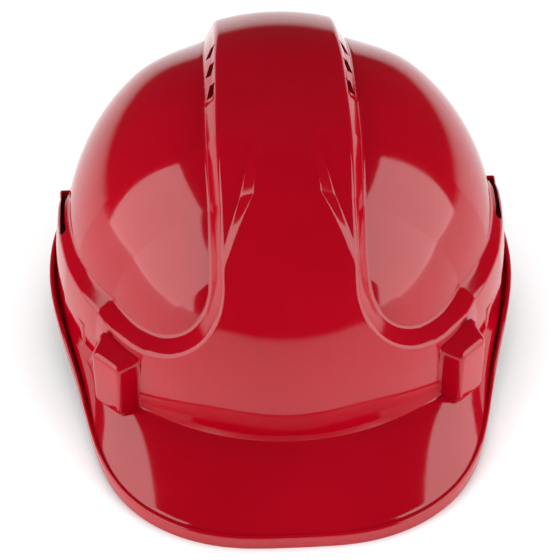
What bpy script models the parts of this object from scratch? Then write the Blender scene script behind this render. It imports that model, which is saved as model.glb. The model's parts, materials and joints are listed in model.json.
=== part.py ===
"""Industrial hard hat: a one-piece moulded shell over an eight-point webbing suspension with a ratchet headband.

Metres, +Z up. The wearer faces -Y. The origin is under the middle of the hat's outline, on the surface it rests on.
Lengths in the tables of driving dimensions are in millimetres and become metres through MM.
"""

import math

import bmesh
import bpy
import numpy as np
from mathutils import Matrix, Vector

MM = 0.001

# ---- Driving dimensions of the shell (mm) ----
DOME_Y = 18.1  # the dome's vertical axis, forward of the outline's middle
DOME_BASE = 30.0  # height of the dome's widest level
DOME_HALF_WIDTH = 102.5
DOME_FRONT = 105.0  # from the dome's axis to its front and its rear
DOME_REAR = 105.3
BAND_REAR = 112.2  # the brow band's rear, which stands further off the dome
DOME_HEIGHT = 109.5
DOME_POWER = 2.4  # 2 is an ellipsoid; more is squarer
WALL = 2.6  # thickness of the moulding
RAISE_FRONT = 7.5  # ridge and brow stand this far off the two lobes
RAISE_SIDE = 4.2
RIDGE_BASE = 34.6  # half-width of the ridge at the foot of its sloped sides
RIDGE_TOP_FRONT = 27.9  # and along their upper edge, in front and behind
RIDGE_TOP_REAR = 26.3
RIDGE_HALF = 31.0  # middle of the sloped side, where the vents are
CROWN_FALL = 3.6  # the crown is this much flatter towards the rear
STEP_RUN = 5.9  # height of the sloped step above the brow
BROW_Z = 62.5  # middle of the step above the brow, at the front
BROW_RISE = 3.0  # how much higher it runs beside the ears
BROW_DROP = 18.0  # and how much lower again behind them
LOBE_CORNER = 38.0  # radius of the lobes' lower corners
CREASE_Z = 27.0  # where brow meets visor and gutter
SIDE_REACH = 8.0  # width of the gutter outside the dome
VISOR_REACH = 42.8  # what the visor adds to that at the front
RIM_SIDE_Z = 23.0  # underside of the rim beside the ears
LIP_WIDTH = 2.6
VISOR_LIP = 7.8  # height of the turned-down lip at the visor's edge
REST_TRIM = 0.4  # the rim runs this far below the ground and is cut flat there
GUTTER_FLOOR = 3.0  # gutter floor over the rim's underside
GUTTER_LIP = 4.2  # upturned lip over the gutter floor
FACET_DEPTH = 3.0  # the two facets sunk beside the front wedge
FACET_TOP = -31.0  # along Y from the dome's axis: start, fold and end of the V
FACET_FOLD = -58.5
FACET_END = -82.0
FOLD_DROP = 1.6
BROW_END = -104.0

# ---- Driving dimensions of the suspension (mm) ----
BAND_R = 87.2  # inner radius of the headband's round rear half
BAND_T = 1.6
BAND_FRONT = 95.0  # the headband's oval front reaches this far forward
BAND_Z = 24.0  # middle height of headband and ratchet
BAND_H = 30.0
ARM_R_LEFT = 89.3  # inner radii of the two toothed arms, which pass over each other at the nape
ARM_R_RIGHT = 90.9
ARM_T = 1.2
ARM_H = 22.0
MODULE = 1.0
PINION_TEETH = 12
GAP = 0.3

COLOURS = {
    "shell_red": ((0.58, 0.0, 0.01, 1), 0.08, 0.0),
    "webbing": ((0.03, 0.03, 0.035, 1), 0.85, 0.0),
    "harness_plastic": ((0.025, 0.025, 0.028, 1), 0.45, 0.0),
    "knob_plastic": ((0.05, 0.05, 0.055, 1), 0.4, 0.0),
    "pad_fabric": ((0.06, 0.06, 0.065, 1), 0.95, 0.0),
    "pinion_plastic": ((0.75, 0.74, 0.7, 1), 0.4, 0.0),
    "screw_steel": ((0.6, 0.6, 0.62, 1), 0.3, 1.0),
}


def clear_scene():
    for obj in list(bpy.data.objects):
        bpy.data.objects.remove(obj, do_unlink=True)


def material(name):
    found = bpy.data.materials.get(name)
    if found:
        return found
    colour, roughness, metallic = COLOURS[name]
    made = bpy.data.materials.new(name)
    made.use_nodes = True
    shader = made.node_tree.nodes["Principled BSDF"]
    shader.inputs["Base Color"].default_value = colour
    shader.inputs["Roughness"].default_value = roughness
    shader.inputs["Metallic"].default_value = metallic
    return made


def add_mesh(name, points_mm, faces, slot, origin_mm=(0, 0, 0)):
    """One object from points in mm, with its own origin."""
    origin = Vector(origin_mm)
    mesh = bpy.data.meshes.new(name)
    mesh.from_pydata([(Vector(p) - origin) * MM for p in points_mm], [], faces)
    mesh.materials.append(material(slot))
    obj = bpy.data.objects.new(name, mesh)
    obj.location = origin * MM
    bpy.context.collection.objects.link(obj)
    return obj


def turned_out(obj):
    """Faces made consistent and outward."""
    work = bmesh.new()
    work.from_mesh(obj.data)
    bmesh.ops.recalc_face_normals(work, faces=work.faces)
    work.to_mesh(obj.data)
    work.free()
    return obj


def box_points(size, centre, frame=None):
    """The eight corners of a box in mm; frame is a 3 by 3 matrix whose columns are its own axes."""
    frame = frame or Matrix.Identity(3)
    corners = []
    for sz in (-0.5, 0.5):
        for sy in (-0.5, 0.5):
            for sx in (-0.5, 0.5):
                corner = frame @ Vector((sx * size[0], sy * size[1], sz * size[2]))
                corners.append(Vector(centre) + corner)
    return corners


BOX_FACES = [(0, 2, 3, 1), (4, 5, 7, 6), (0, 1, 5, 4), (2, 6, 7, 3), (0, 4, 6, 2), (1, 3, 7, 5)]


def add_box(name, size, centre, slot, frame=None, bevel=0.0, origin_mm=None):
    obj = add_mesh(name, box_points(size, centre, frame), BOX_FACES, slot, origin_mm or centre)
    if bevel:
        rounding = obj.modifiers.new("rounding", "BEVEL")
        rounding.width = bevel * MM
        rounding.segments = 2
        rounding.limit_method = "ANGLE"
    return turned_out(obj)


def as_cutter(obj):
    obj.hide_render = True
    obj.display_type = "WIRE"
    return obj


def combine(obj, other, operation):
    """Union with, or difference by, another object."""
    step = obj.modifiers.new(other.name, "BOOLEAN")
    step.operation = operation
    step.solver = "EXACT"
    step.object = as_cutter(other)


def ring_faces(rows, columns, closed):
    """Quads between rows of points; closed joins each row's ends."""
    faces = []
    last = columns if closed else columns - 1
    for row in range(rows - 1):
        for col in range(last):
            nxt = (col + 1) % columns
            faces.append((row * columns + col, row * columns + nxt, (row + 1) * columns + nxt, (row + 1) * columns + col))
    return faces


def smooth(t):
    t = np.clip(t, 0.0, 1.0)
    return t * t * (3 - 2 * t)


# ---- The shell's form ----


def dome_length(azimuth):
    """Half-length of the dome, its front or its rear one."""
    return np.where(np.cos(azimuth) > 0, DOME_FRONT, DOME_REAR)


def dome(azimuth, elevation):
    """Points and outward normals of the plain dome; azimuth is 0 at the front, in radians."""
    level = np.cos(elevation) ** (2 / DOME_POWER)
    length = dome_length(azimuth)
    x = DOME_HALF_WIDTH * level * np.sin(azimuth)
    y = -length * level * np.cos(azimuth)
    z = DOME_HEIGHT * np.sin(elevation) ** (2 / DOME_POWER)
    plan = np.maximum((x / DOME_HALF_WIDTH) ** 2 + (y / length) ** 2, 1e-12)
    spread = plan ** (DOME_POWER / 2 - 1)
    rise = (z / DOME_HEIGHT) ** (DOME_POWER - 1) / DOME_HEIGHT
    normal = np.stack([spread * x / DOME_HALF_WIDTH**2, spread * y / length**2, rise], -1)
    normal /= np.linalg.norm(normal, axis=-1, keepdims=True)
    return np.stack([x, y + DOME_Y, z + DOME_BASE], -1), normal


def lobe_depth(point):
    """How far inside the lobes' outline a point is; negative on ridge and brow."""
    along = point[..., 1] - DOME_Y
    half = np.abs(point[..., 0])
    run = RIDGE_BASE - RIDGE_TOP_FRONT + (RIDGE_TOP_FRONT - RIDGE_TOP_REAR) * smooth((along + 40) / 80)
    across = STEP_RUN / 2 + (half - RIDGE_BASE) * np.where(half < RIDGE_BASE, STEP_RUN / run, 1.0)
    brow = BROW_Z + BROW_RISE * smooth((along + 68) / 60) - BROW_DROP * smooth((along - 4) / 36)
    above = point[..., 2] - brow
    corner = np.hypot(np.maximum(LOBE_CORNER - across, 0), np.maximum(LOBE_CORNER - above, 0))
    return np.minimum(LOBE_CORNER - corner, np.minimum(across, above))


def facet_sink(point):
    """Depth of the two facets beside the wedge that runs down the ridge's front."""
    across = np.abs(point[..., 0])
    along = point[..., 1] - DOME_Y
    stations = [FACET_END, FACET_FOLD, FACET_TOP]
    wedge = np.interp(along, stations, [29.5, 13.5, 11.0])
    foot = np.interp(along, stations, [30.0, 20.0, 12.0])
    depth = np.interp(along, stations, [0.0, FACET_DEPTH, 0.0])
    return depth * np.clip((across - wedge) / (foot - wedge), 0, 1)


def front_fold(point):
    """The wedge leans back below its fold and comes out again above the visor."""
    along = point[..., 1] - DOME_Y
    share = np.clip((FACET_FOLD - along) / (FACET_FOLD - BROW_END), 0, 1)
    fade = 1 - smooth((np.abs(point[..., 0]) - 25) / 25)
    return FOLD_DROP * np.sin(math.pi * share) * fade


def relief(point):
    """How far the outer surface stands off the plain dome."""
    turn = np.degrees(np.arctan2(np.abs(point[..., 0]), DOME_Y - point[..., 1]))
    height = band_raise(turn)
    over_top = smooth((point[..., 2] - 75) / 30)
    flatter = 1 - smooth((np.abs(point[..., 0]) - 34) / 34)
    crown_fall = CROWN_FALL * flatter * smooth((point[..., 1] - DOME_Y - 10) / 50) * over_top
    height = height + (RAISE_FRONT - height) * over_top
    raised = np.clip(0.5 - lobe_depth(point) / STEP_RUN, 0, 1)
    return raised * height - crown_fall - facet_sink(point) - front_fold(point)


def oval_radius(azimuth, half_width, length):
    return half_width * length / np.hypot(length * np.sin(azimuth), half_width * np.cos(azimuth))


def plan_radius(azimuth):
    """Radius of the plain dome's base in plan."""
    return oval_radius(azimuth, DOME_HALF_WIDTH, dome_length(azimuth))


def band_raise(turn):
    """How far the brow band stands off the dome's base at a plan azimuth in degrees."""
    azimuth = np.radians(turn)
    front = RAISE_FRONT - (RAISE_FRONT - RAISE_SIDE) * smooth((np.abs(turn) - 40) / 40)
    rear = oval_radius(azimuth, DOME_HALF_WIDTH + RAISE_SIDE, BAND_REAR) - plan_radius(azimuth)
    return np.where(np.abs(turn) < 90, front, rear)


def rim_profile(azimuth):
    """Points from the crease out to the rim and back to the inner wall, as radius and height."""
    turn = np.degrees(np.abs(azimuth))
    crease = plan_radius(azimuth) + band_raise(turn)
    rear_base = oval_radius(azimuth, DOME_HALF_WIDTH, BAND_REAR - RAISE_SIDE)
    base = np.where(turn < 90, plan_radius(azimuth), rear_base)
    flat_tip = 3.4 * np.exp(-((turn / 11) ** 2))
    edge = base + SIDE_REACH + VISOR_REACH / (1 + np.exp((turn - 42) / 8.06)) - flat_tip
    front = smooth((turn - 15) / 65) ** 1.76
    rear = 1 - smooth((turn - 100) / 48)
    low = RIM_SIDE_Z * front * rear - REST_TRIM
    gutter = smooth((turn - 42) / 24)
    floor = low + VISOR_LIP + (GUTTER_FLOOR - VISOR_LIP) * gutter
    lip = floor + GUTTER_LIP * gutter
    outer = []
    inner_edge = edge - LIP_WIDTH
    for share in np.linspace(0, 1, 9)[1:]:
        radius = crease + (inner_edge - crease) * share
        outer.append((radius, CREASE_Z + (floor - CREASE_Z) * share**1.25))
    outer.append((inner_edge + 0.3, lip - 0.3))
    outer.append((edge - 1.2, lip))
    outer.append((edge - 0.2, lip - 1.2))
    outer.append((edge, low))
    outer.append((inner_edge, low))
    under = []
    for share in np.linspace(1, 0, 7):
        radius = crease - WALL + (inner_edge - crease + WALL) * share
        height = CREASE_Z + (floor - CREASE_Z) * share**1.25 - WALL
        under.append((radius, np.maximum(height, low + 0.05)))
    return outer + under


def shell_points():
    """Rows of points over the outside from the crown to the rim, then up the inside to the crown."""
    columns = 264
    azimuth = np.linspace(-math.pi, math.pi, columns, endpoint=False)
    outer, inner = [], []
    for elevation in np.radians(np.linspace(89.2, 0, 70)):
        point, normal = dome(azimuth, np.full(columns, elevation))
        lift = relief(point)[:, None]
        outer.append(point + normal * lift)
        inner.append(point + normal * (lift - WALL))
    brim = []
    for radius, height in rim_profile(azimuth):
        x = radius * np.sin(azimuth)
        y = DOME_Y - radius * np.cos(azimuth)
        brim.append(np.stack([x, y, height + 0 * x], -1))
    return outer + brim + inner[::-1], columns


def build_shell():
    rows, columns = shell_points()
    points = [tuple(p) for row in rows for p in row]
    faces = ring_faces(len(rows), columns, closed=True)
    top, bottom = len(points), len(points) + 1
    crown = DOME_BASE + DOME_HEIGHT + RAISE_FRONT
    points += [(0, DOME_Y, crown), (0, DOME_Y, crown - WALL)]
    last = (len(rows) - 1) * columns
    for col in range(columns):
        nxt = (col + 1) % columns
        faces.append((top, nxt, col))
        faces.append((bottom, last + col, last + nxt))
    shell = turned_out(add_mesh("shell", points, faces, "shell_red"))
    lighter = shell.modifiers.new("lighter", "DECIMATE")
    lighter.ratio = 0.055
    add_lugs(shell)
    add_side_slots(shell)
    add_sockets(shell)
    cut_vents(shell)
    ground = add_box("ground_cut", (400, 400, 20), (0, 0, -10), "shell_red")
    combine(shell, ground, "DIFFERENCE")
    return shell


def outward(turn_deg):
    """Axes at a plan azimuth: tangent, outward and up, as matrix columns."""
    turn = math.radians(turn_deg)
    tangent = Vector((math.cos(turn), math.sin(turn), 0))
    out = Vector((math.sin(turn), -math.cos(turn), 0))
    return Matrix((tangent, out, Vector((0, 0, 1)))).transposed()


def polar(turn_deg, radius, height):
    """A point at a plan azimuth around the dome's axis."""
    turn = math.radians(turn_deg)
    return (radius * math.sin(turn), DOME_Y - radius * math.cos(turn), height)


def inner_radius(turn_deg):
    """Radius of the shell's inner wall behind the brow."""
    return float(plan_radius(math.radians(turn_deg)) + band_raise(turn_deg)) - WALL


# ---- Details moulded into the shell ----

LUG_TURN = 44.0
LUG_SIZE = (20.0, 12.0, 33.0)
LUG_REACH = 8.5  # out of the brow
LUG_Z = 39.5
SLOT_X = (98.6, 103.2)
SLOT_Y = (-13.5, 19.5)  # from the dome's axis
SLOT_TOP = 66.5
SLOT_BLOCK_X = (95.8, 104.5)
SOCKET_TURNS = (32, 66, 114, 148)
SOCKET_SIZE = (20.0, 7.0, 16.0)
SOCKET_Z = 36.0
SOCKET_SLOT = (14.6, 2.8, 16.0)
VENT_STATIONS = (27.0, 12.0, -3.0)
VENT_SIZE = (8.0, 4.8, 17.0)
VENT_SLANT = 24.0


def add_lugs(shell):
    """A lug on each side of the brow, standing on the visor's root."""
    for side, turn in (("left", LUG_TURN), ("right", -LUG_TURN)):
        face = float(plan_radius(math.radians(turn)) + band_raise(turn))
        middle = face + LUG_REACH - LUG_SIZE[1] / 2
        centre = polar(turn, middle, LUG_Z)
        lug = add_box(f"lug_form_{side}", LUG_SIZE, centre, "shell_red", outward(turn), bevel=2.2)
        combine(shell, lug, "UNION")


def add_side_slots(shell):
    """An accessory slot down through the band behind each ear, walled off from the inside of the hat."""
    for side, sign in (("left", 1), ("right", -1)):
        middle_y = DOME_Y + sum(SLOT_Y) / 2
        length = SLOT_Y[1] - SLOT_Y[0]
        depth = SLOT_BLOCK_X[1] - SLOT_BLOCK_X[0]
        middle_x = sign * sum(SLOT_BLOCK_X) / 2
        block = add_box(f"slot_block_{side}", (depth, length + 6, 38), (middle_x, middle_y, 43), "shell_red", bevel=1.0)
        combine(shell, block, "UNION")
        width = SLOT_X[1] - SLOT_X[0]
        slot_at = (sign * sum(SLOT_X) / 2, middle_y, SLOT_TOP - 30)
        slot = add_box(f"slot_cut_{side}", (width, length, 60), slot_at, "shell_red")
        combine(shell, slot, "DIFFERENCE")


def socket_turns():
    """The eight places where the suspension plugs in, from front left to front right."""
    return [*SOCKET_TURNS, *(-turn for turn in reversed(SOCKET_TURNS))]


def add_sockets(shell):
    for number, turn in enumerate(socket_turns(), 1):
        wall = inner_radius(turn)
        middle = wall + 1.2 - SOCKET_SIZE[1] / 2
        boss = add_box(f"socket_boss_{number}", SOCKET_SIZE, polar(turn, middle, SOCKET_Z), "shell_red", outward(turn))
        combine(shell, boss, "UNION")
        slot_at = polar(turn, wall - 2.8, SOCKET_Z - 2.0)
        slot = add_box(f"socket_slot_{number}", SOCKET_SLOT, slot_at, "shell_red", outward(turn))
        combine(shell, slot, "DIFFERENCE")


def cut_vents(shell):
    """Three slanted vents through each sloped side of the ridge."""
    for side in (1, -1):
        for number, along in enumerate(VENT_STATIONS, 1):
            plan = (RIDGE_HALF / DOME_HALF_WIDTH) ** 2 + (along / DOME_REAR) ** 2
            height = DOME_HEIGHT * (1 - plan ** (DOME_POWER / 2)) ** (1 / DOME_POWER)
            centre = (side * RIDGE_HALF, DOME_Y + along, DOME_BASE + height + RAISE_FRONT / 2)
            out = Vector((side * RAISE_FRONT, 0, STEP_RUN)).normalized()
            along_axis = Vector((0, 1, 0))
            frame = Matrix((along_axis, out.cross(along_axis), out)).transposed()
            frame = Matrix.Rotation(math.radians(side * VENT_SLANT), 3, out) @ frame
            name = f"vent_{'left' if side > 0 else 'right'}_{number}"
            combine(shell, add_box(name, VENT_SIZE, centre, "shell_red", frame), "DIFFERENCE")


# ---- Helpers for the suspension ----


def plate(name, cells, inner, outer, slot, origin_mm=None):
    """A bent plate from cells of (azimuth, height) corners; inner and outer give its radius at an azimuth."""
    keys, points, faces = {}, [], []

    def point(turn, height, layer):
        key = (round(turn, 4), round(height, 4), layer)
        if key not in keys:
            keys[key] = len(points)
            radius = (inner, outer)[layer](turn)
            points.append(polar(turn, radius, height))
        return keys[key]

    edges = {}
    for cell in cells:
        faces.append([point(turn, height, 1) for turn, height in cell])
        faces.append([point(turn, height, 0) for turn, height in reversed(cell)])
        for here, there in zip(cell, cell[1:] + cell[:1]):
            edge = (tuple(np.round(here, 4)), tuple(np.round(there, 4)))
            edges[edge] = (here, there)
    for (start, end), (here, there) in edges.items():
        if (end, start) not in edges:
            faces.append([point(*here, 0), point(*there, 0), point(*there, 1), point(*here, 1)])
    return turned_out(add_mesh(name, points, faces, slot, origin_mm or (0, DOME_Y, 0)))


def strip_cells(turns, low, high):
    """Cells along a strip; low and high give its edges at an azimuth."""
    cells = []
    for here, there in zip(turns, turns[1:]):
        cells.append([(here, low(here)), (there, low(there)), (there, high(there)), (here, high(here))])
    return cells


def sweep(name, profile, turns, slot, origin_mm=None):
    """A closed profile of (radius, height) swept around the dome's axis."""
    points, faces = [], []
    count = len(profile)
    for turn in turns:
        points += [polar(turn, radius, height) for radius, height in profile]
    for row in range(len(turns) - 1):
        for col in range(count):
            nxt = (col + 1) % count
            faces.append((row * count + col, row * count + nxt, (row + 1) * count + nxt, (row + 1) * count + col))
    faces.append(tuple(range(count)))
    faces.append(tuple(range((len(turns) - 1) * count, len(turns) * count)))
    return turned_out(add_mesh(name, points, faces, slot, origin_mm or (0, DOME_Y, 0)))


def extrude_profile(name, profile, turn, width, slot):
    """A closed profile of (radius, height) extruded along the tangent at an azimuth."""
    frame = outward(turn)
    points = []
    for side in (-0.5, 0.5):
        for radius, height in profile:
            points.append(Vector(polar(turn, radius, height)) + frame @ Vector((side * width, 0, 0)))
    count = len(profile)
    faces = [tuple(range(count)), tuple(range(count, 2 * count))]
    for col in range(count):
        nxt = (col + 1) % count
        faces.append((col, nxt, count + nxt, count + col))
    return turned_out(add_mesh(name, points, faces, slot, polar(turn, profile[0][0], profile[0][1])))


def turned_along_y(name, rings, slot, origin_mm):
    """A closed body round the knob's axis from rings of (y, radius), the first and last capped."""
    columns = 24
    points, faces = [], []
    for y, radius in rings:
        for col in range(columns):
            angle = math.tau * col / columns
            points.append((radius * math.sin(angle), DOME_Y + y, BAND_Z + radius * math.cos(angle)))
    faces = ring_faces(len(rings), columns, closed=True)
    faces.append(tuple(range(columns)))
    faces.append(tuple(range((len(rings) - 1) * columns, len(rings) * columns)))
    return turned_out(add_mesh(name, points, faces, slot, origin_mm))


# ---- Suspension ----

STRAP_WIDTH = 19.0
STRAP_T = 1.2
STRAP_TOP = 104.0
STRAP_LAYER = 1.6
STRAP_POWER = 2.2
STRAP_FOOT = 24.0
KEY_TOP = 42.0
KEY_FOOT = 22.0
KEY_WIDTH = 14.0
PAD_RADIUS = 38.0
PAD_T = 5.0
HANGER_TURNS = (32, -32, 66, -66)
GUIDE_TURNS = (106.0, 113.0)
HOUSING_HALF = 20.0  # degrees of azimuth each side of the nape
WINDOW_HALF = 17.5
ARM_TIP = 20.0
ARM_TAIL = 92.0
PINION_Y = (89.1, 92.4)
COVER_R = (92.9, 94.4)
KNOB_Y = (94.9, 103.0)
KNOB_R = 16.0


def key_profile(turn):
    """A hook: a tongue up into the socket, a foot, and a leg that the strap is sewn round."""
    wall = inner_radius(turn)
    tongue_out, tongue_in = wall - 1.8, wall - 3.8
    leg_out, leg_in = wall - 6.2, wall - 8.2
    foot_top = SOCKET_Z - SOCKET_SIZE[2] / 2 - GAP
    return [
        (tongue_out, KEY_FOOT),
        (tongue_out, KEY_TOP - 1.0),
        (tongue_in, KEY_TOP - 1.0),
        (tongue_in, foot_top),
        (leg_out, foot_top),
        (leg_out, KEY_TOP),
        (leg_in, KEY_TOP),
        (leg_in, KEY_FOOT),
    ]


def build_keys():
    for number, turn in enumerate(socket_turns(), 1):
        extrude_profile(f"anchor_key_{number}", key_profile(turn), turn, KEY_WIDTH, "harness_plastic")


def strap_line(turn, layer, steps):
    """The strap's outer line from its foot at an azimuth up to the crown, as radius and height."""
    foot = inner_radius(turn) - 8.2 - GAP
    top = STRAP_TOP + layer * STRAP_LAYER
    spring = KEY_TOP
    line = [(foot, STRAP_FOOT)]
    for step in range(steps + 1):
        angle = math.pi / 2 * step / steps
        radius = foot * math.cos(angle) ** (2 / STRAP_POWER)
        height = spring + (top - spring) * math.sin(angle) ** (2 / STRAP_POWER)
        line.append((radius, height))
    return line


def build_strap(number, turn, layer):
    """Webbing from one key over the crown to the opposite one."""
    steps = 9
    up = [(radius, height, turn) for radius, height in strap_line(turn, layer, steps)]
    other = turn - 180 if turn > 0 else turn + 180
    down = [(radius, height, other) for radius, height in strap_line(other, layer, steps)][:-1]
    line = [Vector(polar(t, radius, height)) for radius, height, t in up + down[::-1]]
    side = outward(turn) @ Vector((STRAP_WIDTH / 2, 0, 0))
    points, faces = [], []
    for index, here in enumerate(line):
        before, after = line[max(index - 1, 0)], line[min(index + 1, len(line) - 1)]
        inward = side.normalized().cross(after - before).normalized() * STRAP_T
        if inward.dot(Vector((0, DOME_Y, 40)) - here) < 0:
            inward.negate()
        points += [here - side, here + side, here + side + inward, here - side + inward]
    faces = ring_faces(len(line), 4, closed=True)
    faces += [(0, 1, 2, 3), tuple(range(len(points) - 4, len(points)))]
    turned_out(add_mesh(f"crown_strap_{number}", points, faces, "webbing", (0, DOME_Y, STRAP_TOP)))


def build_straps():
    pairs = [SOCKET_TURNS[0], -SOCKET_TURNS[0], SOCKET_TURNS[1], -SOCKET_TURNS[1]]
    for layer, turn in enumerate(pairs):
        build_strap(layer + 1, turn, layer)


def build_crown_pad():
    """A domed round pad under the crossing of the straps."""
    rings = []
    top_z = STRAP_TOP - STRAP_T - 1.0
    for radius in (6, 16, 26, 34, PAD_RADIUS):
        rings.append((radius, top_z - radius**2 / 260))
    for radius in (PAD_RADIUS, 34, 26, 16, 6):
        edge = 1.5 if radius == PAD_RADIUS else PAD_T
        rings.append((radius, top_z - radius**2 / 260 - edge))
    columns = 24
    points = []
    for radius, height in rings:
        points += [polar(360 * col / columns, radius, height) for col in range(columns)]
    faces = ring_faces(len(rings), columns, closed=True)
    faces += [tuple(range(columns)), tuple(range(len(points) - columns, len(points)))]
    turned_out(add_mesh("crown_pad", points, faces, "pad_fabric", (0, DOME_Y, STRAP_TOP)))


def band_radius(turn, extra=0.0):
    """The headband's inner radius: round behind the ears, oval in front."""
    side = BAND_R + extra
    front = BAND_FRONT + extra
    angle = math.radians(turn)
    if abs(turn) >= 90:
        return side
    return side * front / math.hypot(front * math.sin(angle), side * math.cos(angle))


def turns_between(start, end, step=6.0):
    count = max(1, round(abs(end - start) / step))
    return [start + (end - start) * index / count for index in range(count + 1)]


def build_headband():
    low, high = BAND_Z - BAND_H / 2, BAND_Z + BAND_H / 2
    turns = turns_between(-118, 118, 7)
    cells = strip_cells(turns, lambda t: low, lambda t: high)
    plate("headband", cells, band_radius, lambda t: band_radius(t, BAND_T), "harness_plastic")
    pad = strip_cells(turns_between(-72, 72, 7), lambda t: low + 1, lambda t: high - 1)
    plate("sweatband", pad, lambda t: band_radius(t, -4.2), lambda t: band_radius(t, -0.4), "pad_fabric")


def build_hangers():
    """Tabs that carry the headband from the feet of the keys."""
    for turn in HANGER_TURNS:
        band = band_radius(turn, BAND_T + GAP)
        wall = inner_radius(turn)
        under = KEY_FOOT - GAP
        profile = [
            (band, 14.0),
            (wall - 1.0, 18.5),
            (wall - 1.0, under),
            (band + 1.8, 17.5),
            (band + 1.8, 34.0),
            (band, 34.0),
        ]
        side = "left" if turn > 0 else "right"
        place = "front" if abs(turn) < 50 else "side"
        extrude_profile(f"hanger_{place}_{side}", profile, turn, 12.0, "harness_plastic")


def build_guides():
    """Loops at the ends of the headband that the arms slide through."""
    for side, sign, arm_r in (("left", 1, ARM_R_LEFT), ("right", -1, ARM_R_RIGHT)):
        inner, outer = arm_r - GAP, arm_r + ARM_T + GAP
        reach = ARM_H / 2 + GAP
        profile = [
            (BAND_R + BAND_T + 0.1, BAND_Z - reach - 2.2),
            (outer + 1.6, BAND_Z - reach - 2.2),
            (outer + 1.6, BAND_Z + reach + 2.2),
            (BAND_R + BAND_T + 0.1, BAND_Z + reach + 2.2),
            (BAND_R + BAND_T + 0.1, BAND_Z + reach),
            (outer, BAND_Z + reach),
            (outer, BAND_Z - reach),
            (BAND_R + BAND_T + 0.1, BAND_Z - reach),
        ]
        turns = [sign * turn for turn in turns_between(*GUIDE_TURNS, 3.5)]
        sweep(f"arm_guide_{side}", profile, turns, "harness_plastic")


def rack_edge(phase_deg, pitch_deg, line, direction):
    """Corners of a rack's straight-sided teeth over the window; direction is -1 where they point down."""
    lean = math.tan(math.radians(20))
    corners = []
    teeth = int((WINDOW_HALF - 0.6) / pitch_deg)
    tip, root = 0.8 * MODULE, 1.25 * MODULE
    half = math.pi * MODULE / 4 - 0.12
    for tooth in range(-teeth, teeth + 1):
        centre = phase_deg + (tooth + 0.5) * pitch_deg
        if abs(centre) > WINDOW_HALF - pitch_deg / 2:
            continue
        per_mm = pitch_deg / (math.pi * MODULE)
        for across, depth in ((-half - root * lean, -root), (-half + tip * lean, tip)):
            corners.append((centre + across * per_mm, line + direction * depth))
        for across, depth in ((half - tip * lean, tip), (half + root * lean, -root)):
            corners.append((centre + across * per_mm, line + direction * depth))
    return corners


def build_arm(name, sign, arm_r, teeth_up):
    """A strip with a toothed window, round the nape from one side; sign is +1 on the wearer's left."""
    low, high = BAND_Z - ARM_H / 2, BAND_Z + ARM_H / 2
    pitch = MODULE * PINION_TEETH / 2
    pitch_deg = math.degrees(math.pi * MODULE / (arm_r + ARM_T / 2))
    plain_gap = pitch + 1.6
    root_gap = pitch + 1.25 * MODULE
    if teeth_up:
        corners = rack_edge(0.0, pitch_deg, BAND_Z + pitch, -1)
        window_low, window_high = BAND_Z - plain_gap, BAND_Z + root_gap
    else:
        corners = rack_edge(0.0, pitch_deg, BAND_Z - pitch, 1)
        window_low, window_high = BAND_Z - root_gap, BAND_Z + plain_gap
    start, end = 180 - WINDOW_HALF, 180 + WINDOW_HALF
    body = turns_between(ARM_TAIL, start, 6)
    cells = []
    levels = [low, window_low, window_high, high]
    solid = list(zip(body, body[1:])) + [(end, 180 + ARM_TIP)]
    for here, there in solid:
        for bottom, top in zip(levels, levels[1:]):
            cells.append([(here, bottom), (there, bottom), (there, top), (here, top)])
    toothed = [(start, window_high if teeth_up else window_low)]
    toothed += [(180 + turn, height) for turn, height in corners]
    toothed.append((end, toothed[0][1]))
    plain = turns_between(start, end, 5)
    if teeth_up:
        for (here, z0), (there, z1) in zip(toothed, toothed[1:]):
            cells.append([(here, z0), (there, z1), (there, high), (here, high)])
        cells += strip_cells(plain, lambda t: low, lambda t: window_low)
    else:
        for (here, z0), (there, z1) in zip(toothed, toothed[1:]):
            cells.append([(here, low), (there, low), (there, z1), (here, z0)])
        cells += strip_cells(plain, lambda t: window_high, lambda t: high)
    cells = [[(sign * turn, height) for turn, height in cell] for cell in cells]
    plate(name, cells, lambda t: arm_r, lambda t: arm_r + ARM_T, "harness_plastic")


def pinion_radius(angle):
    """Outline of the pinion: straight-sided teeth, narrowed for running clearance."""
    pitch = MODULE * PINION_TEETH / 2
    turn = math.tau / PINION_TEETH
    offset = abs((angle + turn / 2) % turn - turn / 2) * pitch
    tip, root = pitch + 0.8 * MODULE, pitch - 1.15 * MODULE
    if offset <= 0.30:
        return tip
    if offset >= 1.05:
        return root
    return tip + (root - tip) * (offset - 0.30) / 0.75


def build_pinion():
    """Pinion on a stub shaft, bored blind for the knob's screw."""
    points, faces = [], []
    steps = 8
    columns = PINION_TEETH * steps
    shaft, bore = 3.2, 1.3
    rings = [
        (PINION_Y[0], None),
        (PINION_Y[1], None),
        (PINION_Y[1], shaft),
        (KNOB_Y[0] + 3.6, shaft),
        (KNOB_Y[0] + 3.6, bore),
        (KNOB_Y[0] - 0.9, bore),
    ]
    for y, radius in rings:
        for col in range(columns):
            angle = math.tau * col / columns
            reach = pinion_radius(angle) if radius is None else radius
            points.append((reach * math.sin(angle), DOME_Y + y, BAND_Z + reach * math.cos(angle)))
    faces = ring_faces(len(rings), columns, closed=True)
    faces.append(tuple(range(columns)))
    faces.append(tuple(range(len(points) - columns, len(points))))
    turned_out(add_mesh("pinion", points, faces, "pinion_plastic", (0, DOME_Y + PINION_Y[0], BAND_Z)))


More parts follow.
